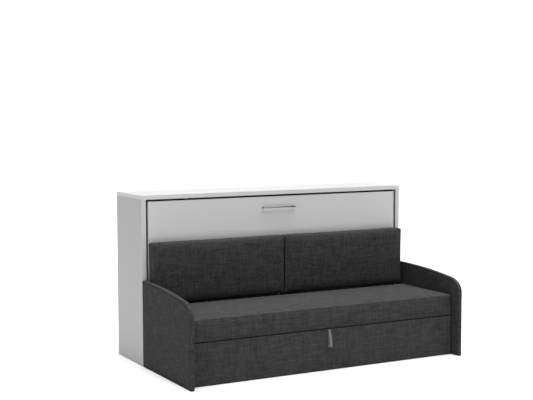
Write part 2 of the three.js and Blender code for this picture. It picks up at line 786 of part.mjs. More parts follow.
// Bedding drawer on four castors under the seat
function pullTabGeometry() {
  const high = tabDrop - tabHead;
  const headThick = 2 * tabThick + boreGap;
  const outline = new THREE.Shape();
  outline.moveTo(0, tabDrop);
  outline.lineTo(0, tabRound);
  outline.quadraticCurveTo(0, 0, -tabRound, 0);
  outline.lineTo(tabRound - tabReach, 0);
  outline.quadraticCurveTo(-tabReach, 0, -tabReach, tabRound);
  outline.quadraticCurveTo(-tabReach, high / 2, -headThick, high);
  outline.lineTo(-headThick, tabDrop);
  const hole = new THREE.Path();
  const apex = high - 2 * headThick;
  hole.moveTo(-tabThick, apex);
  hole.lineTo(-headThick, apex);
  hole.quadraticCurveTo(tabThick - tabReach, high / 2, tabThick - tabReach, tabRound);
  hole.quadraticCurveTo(tabThick - tabReach, tabThick, tabRound - tabReach, tabThick);
  hole.lineTo(-tabRound, tabThick);
  hole.quadraticCurveTo(-tabThick, tabThick, -tabThick, tabRound);
  outline.holes.push(hole);
  return alongAxis(extrude(outline, tabWidth, 0, discSteps), 'x').translate(-tabWidth / 2, 0, 0);
}

function addDrawer() {
  const front = board('drawer_front', fabric, [clothGap - armrestInner, armrestInner - clothGap],
    [seatFront, seatFront + drawerFrontThick], [drawerFloorGap, drawerFrontTop], drawerFrontEdge);
  const boxFront = front.position.y + drawerFrontThick / 2 + seatGap;
  const boxBack = rearBoardFront - drawerRearGap;
  const wallBottom = drawerBottomZ + drawerBottomThick + seatGap;
  board('drawer_bottom', hardboard, [-drawerHalfX, drawerHalfX], [boxFront, boxBack],
    [drawerBottomZ, drawerBottomZ + drawerBottomThick]);
  for (const [label, side] of sides) {
    const outer = side * drawerHalfX;
    const inner = outer - side * drawerSideThick;
    board(`drawer_side_${label}`, laminate, [Math.min(inner, outer), Math.max(inner, outer)],
      [boxFront, boxBack], [wallBottom, drawerTop]);
  }
  const between = drawerHalfX - drawerSideThick - seatGap;
  board('drawer_back', laminate, [-between, between], [boxBack - drawerSideThick, boxBack], [wallBottom, drawerTop]);
  place('pull_tab', pullTabGeometry(), greyWebbing, 0, seatFront - seatGap, drawerFrontTop - tabDrop);
  const castorX = drawerHalfX - castorInsetX;
  const castorPlaces = [
    ['front', boxFront + castorInsetY],
    ['rear', boxBack - castorInsetY],
  ];
  for (const [label, side] of sides) {
    for (const [end, y] of castorPlaces) {
      place(`castor_housing_${end}_${label}`, castorHousingGeometry(), blackPlastic, side * castorX, y, wheelCentreZ);
      place(`castor_wheel_${end}_${label}`, castorWheelGeometry(), greyRubber, side * castorX, y, wheelCentreZ);
    }
  }
}

// Castor housing: plate, two cheeks and the axle between them
function castorHousingGeometry() {
  const plateTop = wheelRadius + castorAbove + forkThick;
  const plate = new THREE.BoxGeometry(forkPlateWidth, forkPlateLength, forkThick)
    .translate(0, 0, plateTop - forkThick / 2);
  const cheekIn = wheelWidth / 2 + boreGap * 4;
  const cheek = new THREE.Shape();
  cheek.moveTo(-wheelRadius, plateTop - forkThick / 2);
  cheek.lineTo(-forkCheekRadius, 0);
  cheek.absarc(0, 0, forkCheekRadius, Math.PI, 2 * Math.PI, false);
  cheek.lineTo(wheelRadius, plateTop - forkThick / 2);
  const cheeks = [-1, 1].map((side) => alongAxis(extrude(cheek, forkThick, 0, discSteps / 2), 'x')
    .translate(side * (cheekIn + forkThick / 2) - forkThick / 2, 0, 0));
  const axleLength = 2 * cheekIn + forkThick;
  const axle = alongAxis(extrude(disc(0, 0, axleRadius), axleLength), 'x').translate(-axleLength / 2, 0, 0);
  return unite(plate, ...cheeks, axle);
}

function castorWheelGeometry() {
  const half = wheelWidth / 2;
  const bore = axleRadius + pinGap;
  const web = half / 2;
  const profile = [
    new THREE.Vector2(bore, -half),
    new THREE.Vector2(hubRadius, -half),
    new THREE.Vector2(hubRadius, -web),
    new THREE.Vector2(wheelRadius - 2 * wheelRound, -web),
    new THREE.Vector2(wheelRadius - wheelRound, -half),
    new THREE.Vector2(wheelRadius, wheelRound - half),
    new THREE.Vector2(wheelRadius, half - wheelRound),
    new THREE.Vector2(wheelRadius - wheelRound, half),
    new THREE.Vector2(wheelRadius - 2 * wheelRound, web),
    new THREE.Vector2(hubRadius, web),
    new THREE.Vector2(hubRadius, half),
    new THREE.Vector2(bore, half),
    new THREE.Vector2(bore, -half),
  ];
  return lathe(profile, fineLatheSteps).rotateZ(-Math.PI / 2);
}

addCabinet();
addWallBrackets();
addFoldFittings();
addBed();
addHandle();
addStruts();
addSofa();
addBackrest();
addDrawer();

// The origin is at the middle of the footprint, on the floor
model.position.y = (armrestDepth - cabinetDepth) / 2;

const wallBed = new THREE.Group();
wallBed.add(model);

export default wallBed;
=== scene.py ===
import json
import math

import bmesh
import bpy
import numpy as np
from mathutils import Matrix, Vector


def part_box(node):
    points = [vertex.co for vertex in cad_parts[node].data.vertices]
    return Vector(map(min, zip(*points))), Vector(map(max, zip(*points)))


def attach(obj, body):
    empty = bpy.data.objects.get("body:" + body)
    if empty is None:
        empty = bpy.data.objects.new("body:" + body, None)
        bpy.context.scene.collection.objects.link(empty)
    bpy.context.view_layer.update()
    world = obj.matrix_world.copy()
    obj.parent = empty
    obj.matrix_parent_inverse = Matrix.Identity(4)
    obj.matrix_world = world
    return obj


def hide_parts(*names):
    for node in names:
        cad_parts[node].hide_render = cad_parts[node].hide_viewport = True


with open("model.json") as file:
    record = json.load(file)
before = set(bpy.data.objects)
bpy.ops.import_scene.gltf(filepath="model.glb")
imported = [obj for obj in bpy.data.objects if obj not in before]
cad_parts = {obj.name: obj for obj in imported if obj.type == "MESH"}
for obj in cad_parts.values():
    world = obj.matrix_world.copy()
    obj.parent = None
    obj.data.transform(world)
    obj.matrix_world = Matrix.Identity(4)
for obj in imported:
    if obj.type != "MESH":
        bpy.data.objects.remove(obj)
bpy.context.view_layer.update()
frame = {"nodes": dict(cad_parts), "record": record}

# Wall bed with a sofa in front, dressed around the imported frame. Metres, +Z up, -Y towards the sitter.

MM = 0.001
ROOT = "cabinet_and_sofa"
BED = "bed"
DRAWER = "drawer"
SIDES = (("left", -1), ("right", 1))


# Camera at the photograph's angle
CAMERA_PLACE = (-3.8909, -6.8142, 1.7382)
CAMERA_PITCH = -0.0792
CAMERA_YAW = 0.4983
CAMERA_ROLL = -0.0021
CAMERA_LENS_MM = 74.87
SENSOR_WIDTH_MM = 36


def make_camera():
    data = bpy.data.cameras.new("camera")
    data.lens = CAMERA_LENS_MM
    data.sensor_width = SENSOR_WIDTH_MM
    camera = bpy.data.objects.new("camera", data)
    camera.location = CAMERA_PLACE
    turn = Matrix.Rotation(-CAMERA_YAW, 3, "Z") @ Matrix.Rotation(math.pi / 2 + CAMERA_PITCH, 3, "X")
    camera.rotation_euler = (turn @ Matrix.Rotation(CAMERA_ROLL, 3, "Z")).to_euler()
    bpy.context.scene.collection.objects.link(camera)
    bpy.context.scene.camera = camera


# Node helpers for the procedural materials
class Shader:
    def __init__(self, name):
        self.material = bpy.data.materials.new(name)
        self.material.use_nodes = True
        self.tree = self.material.node_tree
        self.bsdf = self.tree.nodes["Principled BSDF"]
        self.coords = self.tree.nodes.new("ShaderNodeTexCoord")

    def set(self, **values):
        for key, value in values.items():
            self.bsdf.inputs[key.replace("_", " ")].default_value = value
        return self

    def node(self, kind, **settings):
        made = self.tree.nodes.new("ShaderNode" + kind)
        for key, value in settings.items():
            setattr(made, key, value)
        return made

    def link(self, out, into):
        self.tree.links.new(out, into)

    def scaled(self, scale):
        """Object coordinates, stretched along each axis."""
        mapping = self.node("Mapping")
        mapping.inputs["Scale"].default_value = scale
        self.link(self.coords.outputs["Object"], mapping.inputs["Vector"])
        return mapping.outputs["Vector"]

    def noise(self, scale, detail, rough=0.5):
        made = self.node("TexNoise")
        made.inputs["Scale"].default_value = 1.0
        made.inputs["Detail"].default_value = detail
        made.inputs["Roughness"].default_value = rough
        self.link(self.scaled(scale), made.inputs["Vector"])
        return made.outputs["Fac"]

    def math(self, operation, first, second):
        made = self.node("Math", operation=operation)
        for i, value in enumerate((first, second)):
            if isinstance(value, (int, float)):
                made.inputs[i].default_value = value
            else:
                self.link(value, made.inputs[i])
        return made.outputs[0]

    def ramp(self, value, low, high, out_low, out_high):
        made = self.node("MapRange")
        made.inputs["From Min"].default_value = low
        made.inputs["From Max"].default_value = high
        made.inputs["To Min"].default_value = out_low
        made.inputs["To Max"].default_value = out_high
        self.link(value, made.inputs["Value"])
        return made.outputs["Result"]

    def mix(self, factor, first, second):
        made = self.node("Mix", data_type="RGBA")
        self.link(factor, made.inputs["Factor"])
        for key, value in (("A", first), ("B", second)):
            socket = [s for s in made.inputs if s.name == key and s.type == "RGBA"][0]
            if isinstance(value, tuple):
                socket.default_value = (*value, 1)
            else:
                self.link(value, socket)
        return [s for s in made.outputs if s.type == "RGBA"][0]

    def colour(self, value):
        self.link(value, self.bsdf.inputs["Base Color"])
        return self

    def rough(self, value):
        self.link(value, self.bsdf.inputs["Roughness"])
        return self

    def bump(self, height, distance, strength):
        made = self.node("Bump")
        made.inputs["Strength"].default_value = strength
        made.inputs["Distance"].default_value = distance
        self.link(height, made.inputs["Height"])
        self.link(made.outputs["Normal"], self.bsdf.inputs["Normal"])
        return self


def threads(shader, fine, long, detail):
    """Threads both ways on every flat face: three stretched noises, one with its grain along each axis."""
    parts = []
    for along in range(3):
        scale = tuple(long if k == along else fine for k in range(3))
        parts.append(shader.noise(scale, detail))
    total = shader.math("ADD", shader.math("ADD", parts[0], parts[1]), parts[2])
    return shader.math("DIVIDE", total, 3.0)


def quilting(shader, pitch):
    """Height of a diamond stitch on the faces that look along Y: zero on the stitch lines, one in between."""
    split = shader.node("SeparateXYZ")
    shader.link(shader.coords.outputs["Object"], split.inputs[0])
    waves = []
    for operation in ("ADD", "SUBTRACT"):
        across = shader.math(operation, split.outputs["X"], split.outputs["Z"])
        wave = shader.math("SINE", shader.math("MULTIPLY", across, math.pi / pitch), 0)
        waves.append(shader.math("ABSOLUTE", wave, 0))
    return shader.math("POWER", shader.math("MULTIPLY", waves[0], waves[1]), 0.4)


def woven(name, dark, light, slub, weave, contrast, sheen, bump, quilt=0):
    """Cloth of two thread sizes, slub and weave, each as its fineness across and along the thread."""
    shader = Shader(name).set(Roughness=0.92, Sheen_Weight=sheen, Sheen_Roughness=0.5, Specular_IOR_Level=0.12)
    slubs = threads(shader, slub[0], slub[1], 3.0)
    yarn = threads(shader, weave[0], weave[1], 1.0)
    both = shader.math("ADD", shader.math("MULTIPLY", slubs, 0.65), shader.math("MULTIPLY", yarn, 0.35))
    factor = shader.ramp(both, 0.5 - contrast, 0.5 + contrast, 0.0, 1.0)
    shader.colour(shader.mix(factor, dark, light))
    if quilt:
        both = shader.math("ADD", both, shader.math("MULTIPLY", quilting(shader, quilt), 8.0))
    shader.bump(both, bump, 0.8)
    return shader.material


def board_material(name, face, edge, front):
    """Melamine board: a faint pearl texture, with the front edges a lighter colour, partly the edge band and partly
    a painted highlight for the light they catch.
    """
    shader = Shader(name).set(Roughness=0.45, Specular_IOR_Level=0.25)
    speck = shader.noise((260, 260, 260), 3.0)
    cloud = shader.noise((2.5, 2.5, 2.5), 2.0)
    shade = shader.math("ADD", shader.math("MULTIPLY", speck, 0.4), shader.math("MULTIPLY", cloud, 0.6))
    tone = tuple(0.97 * c for c in face)
    base = shader.mix(shader.ramp(shade, 0.35, 0.65, 0.0, 1.0), tone, face)
    # Front edges: a lighter colour, partly the edge band and partly a painted highlight.
    split = shader.node("SeparateXYZ")
    shader.link(shader.coords.outputs["Object"], split.inputs[0])
    near = shader.math("LESS_THAN", split.outputs["Y"], front)
    shader.colour(shader.mix(near, base, edge))
    shader.rough(shader.ramp(speck, 0.3, 0.7, 0.38, 0.48))
    shader.bump(speck, 0.00006, 0.6)
    return shader.material


def wood(name, light, dark, along=(2, 60, 60)):
    shader = Shader(name).set(Roughness=0.55)
    grain = shader.noise(along, 6.0, 0.6)
    fibre = shader.noise(tuple(6 * c for c in along), 2.0)
    both = shader.math("ADD", shader.math("MULTIPLY", grain, 0.7), shader.math("MULTIPLY", fibre, 0.3))
    shader.colour(shader.mix(shader.ramp(both, 0.35, 0.65, 0.0, 1.0), dark, light))
    shader.rough(shader.ramp(both, 0.3, 0.7, 0.6, 0.48))
    shader.bump(both, 0.0002, 0.6)
    return shader.material


def metal(name, colour, rough, streak=(6, 400, 400), spread=0.08):
    shader = Shader(name).set(Metallic=1.0, Roughness=rough)
    lines = shader.noise(streak, 2.0)
    low = tuple(0.9 * c for c in colour)
    shader.colour(shader.mix(shader.ramp(lines, 0.3, 0.7, 0.0, 1.0), low, colour))
    shader.rough(shader.ramp(lines, 0.3, 0.7, rough - spread, rough + spread))
    shader.bump(lines, 0.00003, 0.5)
    return shader.material


def plastic(name, colour, rough, bump=0.00008):
    shader = Shader(name).set(Roughness=rough)
    grain = shader.noise((900, 900, 900), 2.0)
    low = tuple(0.85 * c for c in colour)
    shader.colour(shader.mix(shader.ramp(grain, 0.3, 0.7, 0.0, 1.0), low, colour))
    shader.rough(shader.ramp(grain, 0.3, 0.7, rough - 0.05, rough + 0.08))
    shader.bump(grain, bump, 0.7)
    return shader.material


def webbing(name, dark, light):
    shader = Shader(name).set(Roughness=0.85, Sheen_Weight=0.2)
    ribs = threads(shader, 900, 120, 1.0)
    shader.colour(shader.mix(shader.ramp(ribs, 0.4, 0.6, 0.0, 1.0), dark, light))
    shader.bump(ribs, 0.0006, 0.8)
    return shader.material


FRONT_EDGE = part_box("side_panel_left")[0][1] + 1.0 * MM
MATERIALS = {
    # The sides' front edges: a lighter colour, partly the edge band and partly a painted highlight.
    "laminate": board_material("laminate", (0.345, 0.345, 0.345), (0.43, 0.43, 0.43), FRONT_EDGE),
    # The front panel and the top board are the same laminate as the sides, made lighter: painted light for the
    # stronger light on the front and on the top.
    "panel": board_material("laminate_painted_front_light", (0.455, 0.455, 0.455), (0.455, 0.455, 0.455), FRONT_EDGE),
    "top": board_material("laminate_painted_top_light", (0.475, 0.475, 0.475), (0.475, 0.475, 0.475), FRONT_EDGE),
    "hardboard": plastic("hardboard", (0.40, 0.39, 0.375), 0.65),
    "fabric": woven("upholstery", (0.006, 0.0057, 0.0059), (0.0535, 0.0507, 0.0523), (100, 11), (620, 60), 0.142,
                    0.02, 0.0006),
    "ticking": woven("ticking", (0.25, 0.243, 0.23), (0.31, 0.303, 0.288), (140, 40), (700, 200), 0.2, 0.1, 0.0008,
                     quilt=0.14),
    "birch": wood("birch", (0.34, 0.26, 0.165), (0.28, 0.20, 0.115), (60, 60, 2)),
    "raw_wood": wood("raw_wood", (0.33, 0.25, 0.155), (0.25, 0.175, 0.095)),
    "dark_board": wood("dark_board", (0.026, 0.025, 0.025), (0.017, 0.0165, 0.0165)),
    "aluminium": metal("aluminium", (0.40, 0.405, 0.415), 0.36),
    "zinc_steel": metal("zinc_steel", (0.35, 0.36, 0.37), 0.38, (120, 120, 120)),
    "satin_metal": metal("satin_metal", (0.17, 0.17, 0.173), 0.48, (4, 500, 500)),
    # The handle posts are the same satin metal, made darker: painted shade for the shadow round the handle's feet.
    "shaded_post_metal": metal("shaded_post_metal", (0.075, 0.075, 0.077), 0.5, (500, 4, 500)),
    "black_paint": plastic("black_paint", (0.018, 0.018, 0.019), 0.32, 0.00003),
    "chrome_steel": metal("chrome_steel", (0.80, 0.81, 0.83), 0.12, (300, 300, 30), 0.04),
    "webbing": webbing("webbing", (0.075, 0.075, 0.077), (0.13, 0.13, 0.133)),
    "black_plastic": plastic("black_plastic", (0.022, 0.022, 0.024), 0.5),
    "grey_rubber": plastic("grey_rubber", (0.09, 0.09, 0.095), 0.75, 0.0002),
}


# Nodes that take a lighter, painted-light copy of the laminate instead of their slot's material.
LIT_LAMINATE_COPIES = {"front_panel": "panel", "top_panel": "top"}


def dress_frame():
    """Gives every CAD node that stays the material of its slot; the front and top panels get lighter copies of the
    laminate instead, painted light for the stronger light on them.
    """
    slots = {entry["node"]: entry["material_slot"] for entry in frame["record"]["subparts"]}
    for name, node in frame["nodes"].items():
        material = MATERIALS[LIT_LAMINATE_COPIES.get(name, slots[name])]
        if not node.material_slots:
            node.data.materials.append(material)
        for holder in node.material_slots:
            holder.material = material


# Mesh helpers
def new_object(name, verts, faces, material, smooth_angle=40):
    mesh = bpy.data.meshes.new(name)
    mesh.from_pydata([tuple(v) for v in verts], [], [tuple(f) for f in faces])
    mesh.update()
    thing = bpy.data.objects.new(name, mesh)
    bpy.context.scene.collection.objects.link(thing)
    mesh.materials.append(material)
    shade(mesh, smooth_angle)
    return thing


def shade(mesh, smooth_angle):
    work = bmesh.new()
    work.from_mesh(mesh)
    bmesh.ops.recalc_face_normals(work, faces=work.faces)
    limit = math.radians(smooth_angle)
    for face in work.faces:
        face.smooth = True
    for edge in work.edges:
        edge.smooth = len(edge.link_faces) == 2 and edge.calc_face_angle(0) < limit
    work.to_mesh(mesh)
    work.free()


def settle(thing, body, slot, *nodes):
    """The piece rides on its body and stands for its CAD nodes, which are hidden; the slot is not used."""
    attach(thing, body)
    if nodes:
        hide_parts(*nodes)
    return thing


EDGE_SHARES = (0, 0.12, 0.35, 0.65, 1.0)
FINE_EDGE_SHARES = (0, 0.08, 0.18, 0.28, 0.38, 0.5, 0.65, 0.82, 1.0)
MOST_OF_HALF = 0.45
SEAM_TURN = math.pi / 4
SEAM_HALF = 2.6 * MM


def stations(half, radius, pitch, shares):
    """Places along one axis: close together round both edges, and about a pitch apart between them."""
    count = max(1, round(2 * (half - radius) / pitch))
    inner = np.linspace(radius - half, half - radius, count + 1)[1:-1]
    edge = [-half + share * radius for share in shares]
    return np.array([*edge, *inner, *[-e for e in reversed(edge)]])


def lattice(sizes):
    """Surface points of a block of stations, and the quads between them."""
    last = [n - 1 for n in sizes]
    index = {}
    for i in range(sizes[0]):
        for j in range(sizes[1]):
            for k in range(sizes[2]):
                if i in (0, last[0]) or j in (0, last[1]) or k in (0, last[2]):
                    index[(i, j, k)] = len(index)
    faces = []
    for axis in range(3):
        a, b = [(1, 2), (2, 0), (0, 1)][axis]
        for end in (0, last[axis]):
            for u in range(last[a]):
                for v in range(last[b]):
                    corners = []
                    for du, dv in ((0, 0), (1, 0), (1, 1), (0, 1)):
                        place = [0, 0, 0]
                        place[axis] = end
                        place[a] = u + du
                        place[b] = v + dv
                        corners.append(index[tuple(place)])
                    faces.append(corners if end else corners[::-1])
    return index, faces


class Pad:
    """A padded block: rounded edges, a crowned face, sides drawn in and, if asked, a seam in the face's edge."""

    def __init__(self, low, high, radius, pitch, crown_axis, crown_side, crown, draw, seam=0,
                 turn=SEAM_TURN, seam_half=SEAM_HALF, shares=EDGE_SHARES):
        low = np.array(low)
        high = np.array(high)
        half = (high - low) / 2
        centre = (high + low) / 2
        lines = [stations(h, min(radius, MOST_OF_HALF * h), pitch, shares) for h in half]
        index, self.faces = lattice([len(line) for line in lines])
        self.keys = np.array(list(index))
        raw = np.stack([lines[a][self.keys[:, a]] for a in range(3)], axis=1)
        core = np.clip(raw, radius - half, half - radius)
        away = raw - core
        length = np.linalg.norm(away, axis=1, keepdims=True)
        away = np.where(length > 0, away / np.maximum(length, 1e-9) * radius, 0)
        points = core + away
        if seam:
            unit = away / radius
            border = np.abs(np.delete(unit, crown_axis, axis=1)).max(axis=1)
            off = (np.arctan2(border, crown_side * unit[:, crown_axis]) - turn) * radius
            points -= unit * (seam * np.exp(-(off / seam_half) ** 2))[:, None]
        share = points / half
        shaped = points.copy()
        for a in range(3):
            if a == crown_axis:
                continue
            other = [b for b in range(3) if b not in (a, crown_axis)][0]
            shaped[:, a] -= draw * (1 - share[:, other] ** 2) * share[:, a] ** 3
        flat = [a for a in range(3) if a != crown_axis]
        bulge = (1 - share[:, flat[0]] ** 2) * (1 - share[:, flat[1]] ** 2)
        lift = (1 + crown_side * share[:, crown_axis]) / 2
        shaped[:, crown_axis] += crown_side * crown * bulge * lift
        self.points = shaped + centre
        self.last = [len(line) - 1 for line in lines]

    def on_side(self, axis, side, depth=0):
        """Which points lie on one side of the block, or that many stations in from it."""
        edge = depth if side < 0 else self.last[axis] - depth
        return self.keys[:, axis] == edge

    def seam(self, axis, side):
        """The loop of points halfway round the edge of one side."""
        border = np.zeros(len(self.keys), bool)
        for a in range(3):
            if a != axis:
                border |= self.on_side(a, -1) | self.on_side(a, 1)
        return self.on_side(axis, side) & border


SWELL_PRESSURE = 3.0
SWELL_FRAMES = 20
SWELL_STIFFNESS = 18


def inflate(thing, held, cap):
    """Simulated padding: the cover swells by at most the cap, with the held points fixed, then is applied."""
    group = thing.vertex_groups.new(name="held")
    group.add([int(i) for i in np.nonzero(held)[0]], 1.0, "REPLACE")
    cloth = thing.modifiers.new("padding", "CLOTH")
    settings = cloth.settings
    settings.quality = 5
    settings.mass = 0.3
    settings.tension_stiffness = SWELL_STIFFNESS
    settings.compression_stiffness = SWELL_STIFFNESS
    settings.shear_stiffness = SWELL_STIFFNESS / 3
    settings.bending_stiffness = 0.6
    settings.use_pressure = True
    settings.uniform_pressure_force = SWELL_PRESSURE
    settings.vertex_group_mass = "held"
    settings.effector_weights.gravity = 0
    cloth.collision_settings.use_collision = False
    cloth.collision_settings.use_self_collision = False
    cloth.point_cache.frame_start = 1
    cloth.point_cache.frame_end = SWELL_FRAMES
    scene = bpy.context.scene
    rest = np.empty(len(thing.data.vertices) * 3)
    thing.data.vertices.foreach_get("co", rest)
    for step in range(1, SWELL_FRAMES + 1):
        scene.frame_set(step)
    seen = thing.evaluated_get(bpy.context.evaluated_depsgraph_get())
    swollen = np.empty(len(rest))
    seen.data.vertices.foreach_get("co", swollen)
    move = (swollen - rest).reshape(-1, 3)
    length = np.linalg.norm(move, axis=1, keepdims=True)
    move *= np.minimum(1.0, cap / np.maximum(length, 1e-9))
    thing.modifiers.remove(cloth)
    thing.vertex_groups.remove(group)
    scene.frame_set(1)
    thing.data.vertices.foreach_set("co", (rest.reshape(-1, 3) + move).ravel())
    thing.data.update()


def subdivide(thing):
    modifier = thing.modifiers.new("fine", "SUBSURF")
    modifier.levels = 1
    modifier.render_levels = 1


# Seat cushion: one piece, flat where it lies on the deck, with a crowned top that swells inside its rim
SEAT_CROWN = 5 * MM
SEAT_RADIUS = 12 * MM
SEAT_PITCH = 24 * MM
SEAT_DRAW = 2 * MM
SEAT_SWELL = 4 * MM
END_ROOM = 3.2 * MM


def make_seat():
    low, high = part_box("seat_cushion")
    top = high.z - SEAT_CROWN
    pad = Pad((low.x + END_ROOM, low.y, low.z), (high.x - END_ROOM, high.y, top), SEAT_RADIUS, SEAT_PITCH, 2, 1,
              SEAT_CROWN, SEAT_DRAW)
    seat = new_object("seat_pad", pad.points, pad.faces, MATERIALS["fabric"], 60)
    held = pad.on_side(2, -1) | pad.seam(2, 1)
    for side in (-1, 1):
        held |= pad.on_side(0, side) | pad.on_side(0, side, 1) | pad.on_side(0, side, 2)
    inflate(seat, held, SEAT_SWELL)
    subdivide(seat)
    return settle(seat, ROOT, "fabric", "seat_cushion")


# Back cushions: box cushions with a seam sewn round the front face
BACK_CROWN = 4 * MM
BACK_RADIUS = 14 * MM
BACK_PITCH = 22 * MM
BACK_DRAW = 3 * MM
BACK_SWELL = 5 * MM
BACK_SEAM = 6 * MM
BACK_SEAM_TURN = math.pi / 6
BACK_SEAM_HALF = 3.6 * MM


def make_back_cushion(label):
    node = f"back_cushion_{label}"
    low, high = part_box(node)
    front = low.y + BACK_CROWN
    pad = Pad((low.x, front, low.z), (high.x, high.y, high.z), BACK_RADIUS, BACK_PITCH, 1, -1, BACK_CROWN,
              BACK_DRAW, BACK_SEAM, BACK_SEAM_TURN, BACK_SEAM_HALF, FINE_EDGE_SHARES)
    cushion = new_object(f"back_pad_{label}", pad.points, pad.faces, MATERIALS["fabric"], 60)
    held = pad.on_side(1, 1) | pad.seam(1, -1)
    held |= pad.on_side(0, -1) | pad.on_side(0, 1)
    inflate(cushion, held, BACK_SWELL)
    subdivide(cushion)
    return settle(cushion, BED, "fabric", node)


# Mattress: quilted ticking cover with a crowned face and a seam round that face's edge.
# Known fault: the face peaks at the solid's top and then swells, so it rises over both straps.
MATTRESS_CROWN = 6 * MM
MATTRESS_RADIUS = 18 * MM
MATTRESS_PITCH = 26 * MM
MATTRESS_DRAW = 3 * MM
MATTRESS_SWELL = 3 * MM
MATTRESS_SEAM = 4 * MM


def make_mattress():
    low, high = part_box("mattress")
    pad = Pad((low.x, low.y, low.z), (high.x, high.y - MATTRESS_CROWN, high.z), MATTRESS_RADIUS, MATTRESS_PITCH,
              1, 1, MATTRESS_CROWN, MATTRESS_DRAW, MATTRESS_SEAM)
    mattress = new_object("mattress_pad", pad.points, pad.faces, MATERIALS["ticking"], 60)
    held = pad.on_side(1, -1) | pad.seam(1, 1)
    inflate(mattress, held, MATTRESS_SWELL)
    subdivide(mattress)
    return settle(mattress, BED, "ticking", "mattress")


# Outline of a flat piece, taken from the CAD node
SAME_PLACE = 1e-5


def rim(node, axis):
    """The boundary loop of a slab's high face, in order, as pairs of the other two coordinates."""
    source = frame["nodes"][node].data
    work = bmesh.new()
    work.from_mesh(source)
    bmesh.ops.remove_doubles(work, verts=work.verts, dist=SAME_PLACE)
    level = max(v.co[axis] for v in work.verts)
    # A list, not a set, so that the loop starts at the same point in every run
    flat = [f for f in work.faces if all(abs(v.co[axis] - level) < SAME_PLACE for v in f.verts)]
    edges = [e for f in flat for e in f.edges if sum(g in flat for g in e.link_faces) == 1]
    others = [a for a in range(3) if a != axis]
    near = {}
    for edge in edges:
        a, b = edge.verts
        near.setdefault(a.index, []).append(b)
        near.setdefault(b.index, []).append(a)
    start = edges[0].verts[0]
    loop = [start]
    seen = {start.index}
    while True:
        ahead = [v for v in near[loop[-1].index] if v.index not in seen]
        if not ahead:
            break
        loop.append(ahead[0])
        seen.add(ahead[0].index)
    points = [(v.co[others[0]], v.co[others[1]]) for v in loop]
    work.free()
    return points


def area_of(points):
    return 0.5 * sum(a[0] * b[1] - b[0] * a[1] for a, b in zip(points, points[1:] + points[:1]))


def inset(points, distance):
    """The outline moved inwards by a distance, corner by corner."""
    turn = 1 if area_of(points) > 0 else -1
    out = []
    n = len(points)
    for i in range(n):
        before, here, after = points[i - 1], points[i], points[(i + 1) % n]
        first = Vector((here[0] - before[0], here[1] - before[1])).normalized()
        second = Vector((after[0] - here[0], after[1] - here[1])).normalized()
        normal = Vector((-first.y - second.y, first.x + second.x))
        share = max(0.35, 1 + first.dot(second))
        out.append((here[0] + turn * distance * normal.x / share, here[1] + turn * distance * normal.y / share))
    return out


def bezier(points, steps):
    """Points of a quadratic or cubic curve, without its last one."""
    out = []
    for i in range(steps):
        t = i / steps
        line = [Vector(p) for p in points]
        while len(line) > 1:
            line = [a.lerp(b, t) for a, b in zip(line, line[1:])]
        out.append(tuple(line[0]))
    return out


def loft(name, rings, axis, material, smooth_angle):
    """A slab through rings: each is a closed outline and its place along the axis, all with as many points."""
    others = [a for a in range(3) if a != axis]
    verts = []
    for outline, place in rings:
        for u, v in outline:
            point = [0.0, 0.0, 0.0]
            point[axis] = place
            point[others[0]] = u
            point[others[1]] = v
            verts.append(point)
    n = len(rings[0][0])
    faces = []
    for r in range(len(rings) - 1):
        for i in range(n):
            j = (i + 1) % n
            faces.append((r * n + i, r * n + j, (r + 1) * n + j, (r + 1) * n + i))
    faces.append(tuple(range(n)))
    faces.append(tuple(range((len(rings) - 1) * n, len(rings) * n)))
    return new_object(name, verts, faces, material, smooth_angle)


# Armrests: padded boards with a sewn seam round each face, just inside the outline
ARM_TOP = 596 * MM
ARM_SHOULDER = 557 * MM
ARM_CORNER = 100 * MM
ARM_EDGE = 4 * MM
ARM_FOOT = 7 * MM
ARM_SEAM = 12 * MM
SEAM_DEPTH = 3.8 * MM
ARM_TO_CABINET = 0.3 * MM
ARM_CURVE_STEPS = 28
ARM_NOSE_STEPS = 14
ARM_FRONT_STEPS = 14
ARM_FOOT_STEPS = 5
ARM_SOLE_STEPS = 16
ARM_REAR_STEPS = 12
# Rings of one face, from its middle to the outline: distance in from the outline, and depth below the face
ARM_RINGS = ((45 * MM, 0.2 * MM), (24 * MM, 0.3 * MM), (ARM_SEAM + 3.2 * MM, 1.3 * MM), (ARM_SEAM, SEAM_DEPTH),
             (ARM_SEAM - 3.2 * MM, 1.2 * MM), (6 * MM, 0.1 * MM), (3.2 * MM, 0.4 * MM), (1.2 * MM, 1.5 * MM),
             (0.2 * MM, 3.6 * MM), (0.0, 6 * MM))


